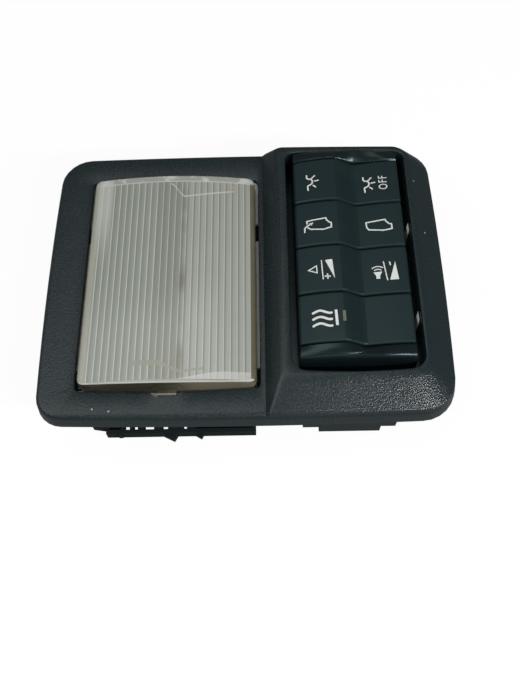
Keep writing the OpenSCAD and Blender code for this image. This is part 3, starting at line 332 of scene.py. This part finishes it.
def paintedViewThrough(finish, look, across, along, tone):
    # painted view through the lens: bulb row, contact strip and tray edge, as the ribs draw them out, with a
    # painted highlight on the tray edge, a painted warm line on its lip and a painted highlight in front
    def drawnOut(line):
        drop = finish.fade(across, *line["bend"], *line["levels"])
        return drop + finish.maths("MAXIMUM", across - line["knee"], 0.0) * look["climb"]

    tone = finish.blend(finish.within(across, *look["bulbRow"], 1.4) * 0.22, tone, look["tan"])
    patches = finish.fade(finish.noise(45, 3, 0.6), 0.42, 0.68)
    tone = finish.blend(finish.near(across, *look["streak"]) * patches * 0.55, tone, look["brown"])

    taper, halves = look["contactTaper"]
    offContact = finish.maths("ABSOLUTE", along - drawnOut(look["contact"]))
    onContact = offContact < finish.fade(across, *taper, *halves)
    onContact = onContact * finish.within(across, *look["contact"]["run"], 0.4)
    tone = finish.blend(onContact * 0.85, tone, look["contactPale"])

    onEdgeHighlight = finish.near(along, drawnOut(look["trayEdge"]), 0.4)
    onEdgeHighlight = onEdgeHighlight * finish.within(across, *look["trayEdge"]["run"], 0.3)
    tone = finish.blend(onEdgeHighlight * 0.8, tone, look["bright"])
    (cornerX, cornerY), reach = look["trayCorner"]
    lip = (across - cornerX) + (along - cornerY) * 0.5
    lip = finish.near(lip, 0.0, 0.6) * finish.within(along, *reach, 0.2)
    tone = finish.blend(lip * 0.7, tone, look["warmLip"])

    sides, ends = look["fanHighlight"]
    fanHighlight = (along < finish.fade(across, *sides, *ends)) * (across > sides[0])
    return finish.blend(fanHighlight * 0.55, tone, look["bright"])


def lensBorder(finish, look, across, along):
    # plain rim outside the ribs, cream on the left, brown on the right, and pale at the back, mottled with
    # painted glints
    border = finish.blend(finish.fade(across, -20, 1), look["cream"], look["brown"])
    mottledGlints = finish.blend(finish.fade(finish.noise(210, 2), 0.5, 0.64), look["pale"], look["bright"])
    return finish.blend(finish.fade(along, *look["backLine"]), border, mottledGlints)


def lensClear():
    look = lensLook
    finish = Finish("lens_clear", IOR=1.42, Transmission_Weight=0.45)
    across = finish.axis("X") * (1 / mm)
    along = finish.axis("Y") * (1 / mm)
    height = finish.axis("Z") * (1 / mm)
    (left, right), (front, back) = look["ribbed"]

    tone = paintedViewThrough(finish, look, across, along, paintedRibLight(finish, look, across))
    border = lensBorder(finish, look, across, along)
    ribbed = finish.within(across, left, right, 0.15) * finish.within(along, front, back, 0.15)
    tone = finish.blend(ribbed, border, tone)
    sheen = finish.near(across, *look["sheen"]) * finish.fade(along, 0, 32)
    tone = finish.blend(sheen * 0.6, tone, look["bright"])
    # painted highlight along the back end of the ribs
    backEdgeHighlight = finish.near(along, back, 0.35) * finish.within(across, left, right, 0.3)
    tone = finish.blend(backEdgeHighlight * 0.7, tone, look["bright"])

    # walls: painted shade on the front wall, turning tan towards the right, with the tongue painted as a lit
    # cream tab, and a painted highlight on the rounded edge above them
    middle, reach, top, rise = look["crown"]
    offset = (across - middle) / reach
    below = (top - offset * offset * rise) - height
    inFront = along < look["frontWall"]
    wall = finish.blend(finish.fade(across, -31, -14), look["shade"], look["tan"])
    tongue, tongueFront = look["tongue"]
    onTongue = (along < tongueFront) * finish.within(across, *tongue, 0.2)
    wall = finish.blend(onTongue, wall, look["cream"])
    wall = finish.blend(inFront, border, wall)
    tone = finish.blend(finish.fade(below, *look["wallTop"]), tone, wall)
    tone = finish.blend(finish.within(below, *look["roundedEdgeHighlight"], 0.1) * inFront, tone, look["bright"])

    haze = finish.noise(120, 4, 0.6)
    finish.feed("Base Color", finish.blend(finish.fade(haze, 0.45, 0.8) * 0.2, tone, look["haze"]))
    finish.feed("Roughness", look["roughness"] + haze * 0.1)
    finish.bump(finish.noise(700, 3), 0.08, 0.02)
    return finish.material


def reflectorWhite():
    look = {
        "colour": (0.8, 0.8, 0.77),
        "warm": (0.6, 0.47, 0.3),
        "bulbRow": -24.0,        # mm, the line that the bulbs have toasted
        "toastReach": (2, 9),    # mm to either side
        "toastLevel": (20, 10),  # mm above the footprint
        "soot": 90,              # patches per metre
        "roughness": 0.3,
    }
    finish = Finish("reflector_white", IOR=1.48)
    across = finish.maths("ABSOLUTE", finish.axis("X") - look["bulbRow"] * mm)
    closest, widest = look["toastReach"]
    upper, lower = look["toastLevel"]
    toasted = (1 - finish.fade(across, closest * mm, widest * mm)) * finish.fade(
        finish.axis("Z"), upper * mm, lower * mm)
    soot = finish.noise(look["soot"], 4)
    finish.feed("Base Color", finish.blend(toasted * (0.35 + soot * 0.4), look["colour"], look["warm"]))
    finish.feed("Roughness", look["roughness"] + soot * 0.15)
    return finish.material


def bulbGlass():
    look = {
        "glass": (0.97, 0.97, 0.96),
        "smoke": (0.8, 0.78, 0.74),
        "smokePatches": 180,   # per metre
        "roughness": 0.02,
    }
    finish = Finish("bulb_glass", IOR=1.45, Transmission_Weight=1.0)
    smoke = finish.fade(finish.noise(look["smokePatches"], 3), 0.45, 0.8)
    finish.feed("Base Color", finish.blend(smoke * 0.5, look["glass"], look["smoke"]))
    finish.feed("Roughness", look["roughness"] + smoke * 0.06)
    return finish.material


def boardGreen():
    look = {
        "mask": (0.012, 0.075, 0.03),
        "track": (0.03, 0.14, 0.06),
        "pitch": 2.4,          # mm from track to track
        "trackHeight": 0.03,   # mm
        "roughness": 0.25,
    }
    finish = Finish("board_green", IOR=1.5)
    wave = finish.maths("SINE", finish.axis("X") * (2 * math.pi / (look["pitch"] * mm)))
    bend = finish.maths("SINE", finish.axis("Y") * (2 * math.pi / (3 * look["pitch"] * mm)))
    track = finish.fade(wave + bend * 0.6, 0.5, 0.62)
    finish.feed("Base Color", finish.blend(track, look["mask"], look["track"]))
    finish.feed("Roughness", look["roughness"] + finish.noise(400) * 0.1)
    finish.bump(track, 0.4, look["trackHeight"])
    return finish.material


def metal(name, bright, dull, roughness, grain):   # grain is in tarnish patches per metre
    finish = Finish(name, Metallic=1.0)
    tarnish = finish.fade(finish.noise(grain, 5, 0.65), 0.35, 0.7)
    finish.feed("Base Color", finish.blend(tarnish, bright, dull))
    finish.feed("Roughness", roughness + tarnish * 0.18)
    finish.bump(finish.noise(grain * 6, 2), 0.15, 0.01)
    return finish.material


def paleResin(name, colour, shade, roughness):
    finish = Finish(name, IOR=1.5)
    cloud = finish.noise(600, 3)
    finish.feed("Base Color", finish.blend(finish.fade(cloud, 0.35, 0.75) * 0.6, colour, shade))
    finish.feed("Roughness", roughness + cloud * 0.1)
    return finish.material


finishes = {
    "grained_black": grainedBlack(),
    "satin_black": satinBlack(),
    "gloss_black": glossBlack(),
    "case_black": caseBlack(),
    "lens_clear": lensClear(),
    "reflector_white": reflectorWhite(),
    "bulb_glass": bulbGlass(),
    "bright_metal": metal("bright_metal", (0.72, 0.72, 0.7), (0.5, 0.49, 0.46), roughness=0.18, grain=500),
    "brass": metal("brass", (0.68, 0.5, 0.22), (0.42, 0.27, 0.1), roughness=0.24, grain=350),
    "steel": metal("steel", (0.55, 0.56, 0.57), (0.36, 0.36, 0.35), roughness=0.3, grain=420),
    "board_green": boardGreen(),
    "led_white": paleResin("led_white", (0.8, 0.8, 0.72), (0.7, 0.69, 0.58), roughness=0.25),
    "light_guide": paleResin("light_guide", (0.14, 0.14, 0.1), (0.1, 0.1, 0.07), roughness=0.3),
    "legend_ink": paleResin("legend_ink", (0.72, 0.74, 0.7), (0.62, 0.64, 0.6), roughness=0.45),
}
print("finishes made:", len(finishes))


# modelling helpers

def pick(*pieces):
    bpy.ops.object.select_all(action="DESELECT")
    for piece in pieces:
        piece.select_set(True)
    bpy.context.view_layer.objects.active = pieces[-1]


def addModifier(piece, kind, **settings):
    modifier = piece.modifiers.new(kind.lower(), kind)
    for key, value in settings.items():
        setattr(modifier, key, value)
    pick(piece)
    bpy.ops.object.modifier_apply(modifier=modifier.name)


def paint(piece, slot):
    piece.data.materials.clear()
    piece.data.materials.append(finishes[slot])


# the panel's own parts

skins = {   # degrees: an edge that turns by more than this stays crisp
    "bezel": 33, "lens": 26, "reflector": 30, "lamp_housing": 33, "switch_frame": 33, "rear_cover": 33,
    "end_caps": 40, "rocker_key_1": 14, "rocker_key_2": 14, "rocker_key_3": 14, "rocker_key_4": 14,
    "front_bulb_glass": 40, "rear_bulb_glass": 40, "front_bulb_caps": 40, "rear_bulb_caps": 40,
    "smoothing_capacitor": 33, "spring_clips": 33, "lamp_screws": 33, "switch_screws": 33,
}
collar = {"foot": 26.0, "down": 23.15}   # mm: the wall round the keys reaches from its foot down to the deck


def skin(node, angle):
    # a node's own shape with shared corners, so that its round surfaces shade smoothly
    piece = bpy.data.objects.new(node + "_skin", nodes[node].data.copy())
    bpy.context.collection.objects.link(piece)
    pick(piece)
    bpy.ops.mesh.customdata_custom_splitnormals_clear()
    bpy.ops.object.mode_set(mode="EDIT")
    bpy.ops.mesh.select_all(action="SELECT")
    bpy.ops.mesh.remove_doubles(threshold=0.002 * mm)
    bpy.ops.object.mode_set(mode="OBJECT")
    bpy.ops.object.shade_smooth_by_angle(angle=math.radians(angle))
    paint(piece, slotOf[node])
    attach(piece, bodyOf[node])
    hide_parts(node)
    return piece


def lowerCollar(bezel):
    for vertex in bezel.data.vertices:
        if abs(vertex.co.z - collar["foot"] * mm) < 0.01 * mm:
            vertex.co.z = collar["down"] * mm


pieces = {node: skin(node, angle) for node, angle in skins.items()}
lowerCollar(pieces["bezel"])
print("skins made:", len(pieces))

for node, thing in nodes.items():
    if node not in skins:
        paint(thing, slotOf[node])
print("plain nodes painted")


# printed legends

legends = {   # mm
    "lift": 0.012,       # between the key and the print's underside
    "thickness": 0.03,
    "above": 60,         # height that the flat drawing drops from
    "step": 0.6,         # long lines are cut up this often, so that they bend with the key
    "line": 0.53,        # widths of the lines
    "fineLine": 0.42,
    "markLine": 0.55,
    "minusLine": 0.5,
    "letterGap": 1.22,   # times the usual distance between letters
    "wave": {"length": 6.4, "swing": 0.6, "turns": 0.86, "start": -0.06, "line": 0.9, "points": 15},
    "hatchOpen": [(23.66, 16.3), (23.5, 17.4), (25.4, 17.7), (30.6, 18.1), (30.8, 17.2), (31.8, 16.1),
                  (32.5, 15.8), (32.5, 13.9), (29.4, 13.1), (24.9, 13.7), (23.8, 14.6)],
    "hatchShut": [(45.9, 17.7), (53.0, 18.4), (53.3, 17.5), (54.3, 16.5), (55.2, 16.2), (55.3, 14.1),
                  (52.05, 13.6), (46.7, 14.4), (46.05, 15.6)],
}


def resampled(points, closed):
    corners = [Vector(point) for point in points]
    if closed:
        corners.append(corners[0])
    dense = [corners[0]]
    for start, end in zip(corners, corners[1:]):
        cuts = max(1, round((end - start).length / legends["step"]))
        dense += [start.lerp(end, i / cuts) for i in range(1, cuts + 1)]
    return dense[:-1] if closed else dense


def strokeRows(points, width, closed):
    # centre, side direction and half width of each cross line of a stroke
    points = resampled(points, closed)
    count = len(points)
    rows = []
    for i, point in enumerate(points):
        before = points[i - 1] if i or closed else point
        after = points[(i + 1) % count] if i < count - 1 or closed else point
        entering = (point - before).normalized() if (point - before).length else None
        leaving = (after - point).normalized() if (after - point).length else None
        entering = entering or leaving
        leaving = leaving or entering
        side = Vector((-(entering + leaving).y, (entering + leaving).x)).normalized()
        stretch = 1 / max(0.5, side.dot(Vector((-leaving.y, leaving.x))))
        rows.append((point, side, width / 2 * stretch))
    if closed:
        return rows + rows[:1]
    starts = []   # round ends
    ends = []
    for angle in (15, 40, 65):
        reach = width / 2 * math.cos(math.radians(angle))
        half = width / 2 * math.sin(math.radians(angle))
        starts.append((points[0] - (points[1] - points[0]).normalized() * reach, rows[0][1], half))
        ends.insert(0, (points[-1] + (points[-1] - points[-2]).normalized() * reach, rows[-1][1], half))
    return starts + rows + ends


def stroke(points, width, closed=False):
    # a strip of faces that follows the points
    rows = strokeRows(points, width, closed)
    bpy.ops.object.select_all(action="DESELECT")
    bpy.ops.mesh.primitive_grid_add(x_subdivisions=2, y_subdivisions=len(rows) - 1, size=1)
    piece = bpy.context.object
    for vertex in piece.data.vertices:
        across = vertex.co.x * 2
        centre, side, half = rows[round((vertex.co.y + 0.5) * (len(rows) - 1))]
        spot = centre + side * half * across
        vertex.co = (spot.x * mm, spot.y * mm, legends["above"] * mm)
    return piece


def filled(points):
    # solid shape: a single corner is drawn out along the outline, closed and filled
    bpy.ops.object.select_all(action="DESELECT")
    bpy.ops.mesh.primitive_plane_add(size=1 * mm)
    piece = bpy.context.object
    bpy.ops.object.mode_set(mode="EDIT")
    bpy.ops.mesh.merge(type="CENTER")
    for start, end in zip(points, points[1:]):
        step = (Vector(end) - Vector(start)) * mm
        bpy.ops.mesh.extrude_region_move(TRANSFORM_OT_translate={"value": (step.x, step.y, 0)})
    bpy.ops.mesh.select_all(action="SELECT")
    bpy.ops.mesh.edge_face_add()
    bpy.ops.mesh.quads_convert_to_tris()
    bpy.ops.mesh.subdivide(number_cuts=3)
    bpy.ops.object.mode_set(mode="OBJECT")
    for vertex in piece.data.vertices:
        vertex.co += Vector((points[0][0] * mm, points[0][1] * mm, legends["above"] * mm))
    return piece


def lettering(words, x0, x1, y0, y1):
    # reads from the front edge towards the back, with its feet towards the outer side
    bpy.ops.object.select_all(action="DESELECT")
    bpy.ops.object.text_add()
    piece = bpy.context.object
    piece.data.body = words
    piece.data.space_character = legends["letterGap"]
    pick(piece)
    bpy.ops.object.convert(target="MESH")
    piece = bpy.context.object
    low = [min(v.co[i] for v in piece.data.vertices) for i in (0, 1)]
    high = [max(v.co[i] for v in piece.data.vertices) for i in (0, 1)]
    for vertex in piece.data.vertices:
        along = (vertex.co.x - low[0]) / (high[0] - low[0])
        rise = (vertex.co.y - low[1]) / (high[1] - low[1])
        vertex.co = ((x1 + (x0 - x1) * rise) * mm, (y0 + (y1 - y0) * along) * mm, legends["above"] * mm)
    return piece


def arc(x, y, radius, start, end, steps=8):
    turns = [math.radians(start + (end - start) * i / steps) for i in range(steps + 1)]
    return [(x + radius * math.cos(turn), y + radius * math.sin(turn)) for turn in turns]


def shifted(points, x, y):
    return [(point[0] + x, point[1] + y) for point in points]


def printOn(key, name, strokes):
    # joins the parts of a legend, lays them on the key's crown and gives the print its thickness
    pick(*strokes)
    if len(strokes) > 1:
        bpy.ops.object.join()
    piece = bpy.context.object
    piece.name = name
    addModifier(piece, "SHRINKWRAP", target=pieces[key], wrap_method="PROJECT", use_project_z=True,
                use_negative_direction=True, use_positive_direction=False, offset=legends["lift"] * mm)
    pick(piece)
    bpy.ops.object.mode_set(mode="EDIT")
    bpy.ops.mesh.select_all(action="SELECT")
    bpy.ops.mesh.remove_doubles(threshold=0.005 * mm)
    bpy.ops.mesh.normals_make_consistent(inside=False)
    bpy.ops.object.mode_set(mode="OBJECT")
    if sum(face.normal.z for face in piece.data.polygons) < 0:
        piece.data.flip_normals()
    addModifier(piece, "SOLIDIFY", thickness=legends["thickness"] * mm, offset=1)
    paint(piece, "legend_ink")
    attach(piece, bodyOf[key])


def lampSymbol(x, y):
    # a dome lamp seen from the side, with three rays
    line = legends["line"]
    dome = [(0.45, 7.3), (0.5, 6.1), (1.1, 5.5)] + arc(1.0, 4.1, 1.6, 60, -60)
    dome += [(0.9, 2.4), (0.7, 1.8), (0.85, 0.3)]
    return [
        stroke(shifted(dome, x, y), line * 1.1),
        stroke(shifted([(2.4, 5.7), (3.5, 6.8)], x, y), line),
        stroke(shifted([(3.5, 4.3), (4.8, 4.45)], x, y), line),
        stroke(shifted([(2.8, 2.3), (3.7, 1.4)], x, y), line),
    ]


def loudspeaker(x, y):
    cone = [(0, 0.0), (1.4, 0.0), (1.4, 1.2), (2.3, 2.9), (-0.9, 2.9), (0, 1.2)]
    waves = [arc(0.7, 2.1, radius, 52, 128) for radius in (1.9, 3.1)]
    return [filled(shifted(cone, x, y))] + [
        stroke(shifted(points, x, y), legends["fineLine"]) for points in waves]


def heatWave(x, y):
    wave = legends["wave"]
    steps = [i / (wave["points"] - 1) for i in range(wave["points"])]
    swing = [(x + wave["length"] * step,
              y + wave["swing"] * math.sin(2 * math.pi * (step * wave["turns"] + wave["start"])))
             for step in steps]
    return stroke(swing, wave["line"])


printOn("rocker_key_1", "legend_lamp_on", lampSymbol(23.75, 31.5))
printOn("rocker_key_1", "legend_lamp_off", lampSymbol(45.75, 31.6) + [
    lettering("OFF", 51.9, 55.2, 32.5, 38.9)])
printOn("rocker_key_2", "legend_hatch_open", [
    stroke(legends["hatchOpen"], legends["line"]),
    stroke([(22.6, 12.7), (22.7, 14.4), (23.5, 15.25), (25.0, 16.0)], legends["markLine"]),
    filled([(26.0, 16.6), (24.4, 16.5), (25.2, 15.3)])])
printOn("rocker_key_2", "legend_hatch_shut", [stroke(legends["hatchShut"], legends["line"], closed=True)])
printOn("rocker_key_3", "legend_louder", [
    stroke([(23.3, -4.1), (26.2, -2.5), (26.4, -5.5)], legends["fineLine"], closed=True),
    stroke([(28.1, -0.5), (28.4, -8.3)], legends["fineLine"]),
    filled([(29.4, -0.4), (32.0, -0.2), (32.6, -8.3)]),
    stroke([(29.2, -7.2), (30.9, -7.4)], legends["markLine"]),
    stroke([(30.0, -6.4), (30.1, -8.2)], legends["markLine"])])
printOn("rocker_key_3", "legend_quieter", loudspeaker(47.9, -7.2) + [
    stroke([(50.9, -0.2), (51.8, -8.0)], legends["fineLine"]),
    stroke([(53.1, -0.5), (53.3, -1.7)], legends["minusLine"]),
    filled([(55.1, -0.3), (52.7, -8.0), (55.9, -8.0)])])
printOn("rocker_key_4", "legend_heat", [heatWave(24.2, y) for y in (-21.7, -24.2, -26.8)] + [
    filled([(31.75, -21.2), (32.7, -21.2), (32.9, -27.3), (31.95, -27.3)])])
print("legends printed")


# studio

studio = {
    "world": 0.14,
    "lights": {   # direction from the panel, distance, width and height in metres, power in watts
        "front_lamp": ((0.42, -0.585, 0.69), 0.7, 0.08, 0.08, 1.5),
        "right_lamp": ((0.68, -0.49, 0.55), 0.84, 0.07, 0.07, 2.6),
        "front_strip": ((0.0, -0.88, 0.47), 0.75, 0.8, 0.025, 0.4),
        "overhead_softbox": ((-0.05, 0.19, 0.98), 0.8, 0.35, 0.35, 0.65),
        "left_softbox": ((-0.64, -0.12, 0.76), 0.9, 0.9, 0.9, 3.4),
    },
    "floorSize": 6,   # metres
    "floorColour": (0.25, 0.25, 0.25, 1),
    "floorRoughness": 0.9,
    "glow": 1.33,     # white of the floor as the camera sees it, itself and through the lens
    "glowShare": 0.7,
}


def addLights():
    for name, (direction, distance, width, height, power) in studio["lights"].items():
        away = Vector(direction).normalized()
        bpy.ops.object.light_add(type="AREA", location=away * distance)
        light = bpy.context.object
        light.name = name
        light.rotation_euler = (-away).to_track_quat("-Z", "Y").to_euler()
        light.data.shape = "RECTANGLE"
        light.data.size = width
        light.data.size_y = height
        light.data.energy = power


def addFloor():
    bpy.ops.object.select_all(action="DESELECT")
    bpy.ops.mesh.primitive_plane_add(size=studio["floorSize"])
    floor = bpy.context.object
    floor.name = "floor"
    finish = Finish("floor_white", Base_Color=studio["floorColour"], Roughness=studio["floorRoughness"])
    seen = finish.node("ShaderNodeLightPath", output="Is Camera Ray")
    seen = seen + finish.node("ShaderNodeLightPath", output="Is Transmission Ray")
    share = finish.maths("MINIMUM", seen * studio["glowShare"], studio["glowShare"])
    glow = finish.node("ShaderNodeEmission", inputs={"Color": (1, 1, 1, 1), "Strength": studio["glow"]})
    surface = Wire(finish, finish.surface.outputs[0])
    mixed = finish.node("ShaderNodeMixShader", inputs={0: share, 1: surface, 2: glow})
    finish.tree.links.new(mixed.socket, finish.tree.nodes["Material Output"].inputs["Surface"])
    floor.data.materials.append(finish.material)


def addWorld():
    world = bpy.context.scene.world or bpy.data.worlds.new("studio")
    bpy.context.scene.world = world
    world.use_nodes = True
    tree = world.node_tree
    sky = tree.nodes["Background"]
    sky.inputs["Color"].default_value = (1, 1, 1, 1)
    path = tree.nodes.new("ShaderNodeLightPath")
    reach = tree.nodes.new("ShaderNodeMapRange")
    reach.inputs["To Min"].default_value = studio["world"]
    reach.inputs["To Max"].default_value = 1.0   # the camera sees plain white
    tree.links.new(path.outputs["Is Camera Ray"], reach.inputs["Value"])
    tree.links.new(reach.outputs["Result"], sky.inputs["Strength"])


addLights()
addFloor()
addWorld()
bpy.context.scene.view_settings.view_transform = "Standard"
print("studio lit")
